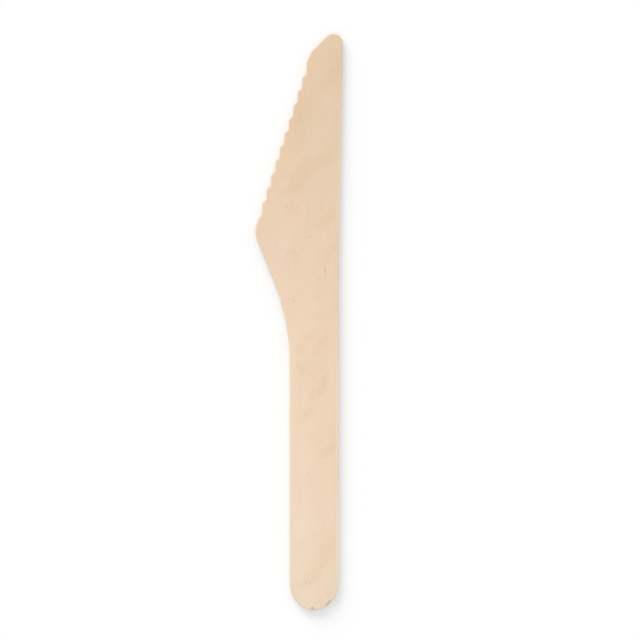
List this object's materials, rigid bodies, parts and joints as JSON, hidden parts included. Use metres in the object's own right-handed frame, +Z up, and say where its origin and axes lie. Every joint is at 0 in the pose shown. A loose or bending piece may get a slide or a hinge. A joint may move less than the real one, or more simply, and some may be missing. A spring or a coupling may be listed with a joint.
{
  "type": "disposable wooden knife",
  "caption": "Flat one-piece disposable table knife stamped from pale birch veneer, with a toothed blade, a straight spine and a round-ended handle.",
  "frame": {"origin": "middle of the knife's box in X and Y, on the flat face that it lies on", "axes": "+Y from the butt of the handle to the tip of the blade, +X towards the spine, +Z up through the sheet"},
  "size_m": [0.025, 0.165, 0.0018],
  "materials": {
    "birch_veneer": "bare pale birch, matt, with fine grain along the length and tumbled edges"
  },
  "bodies": {
    "root": {"knife": "birch_veneer"}
  },
  "joints": []
}
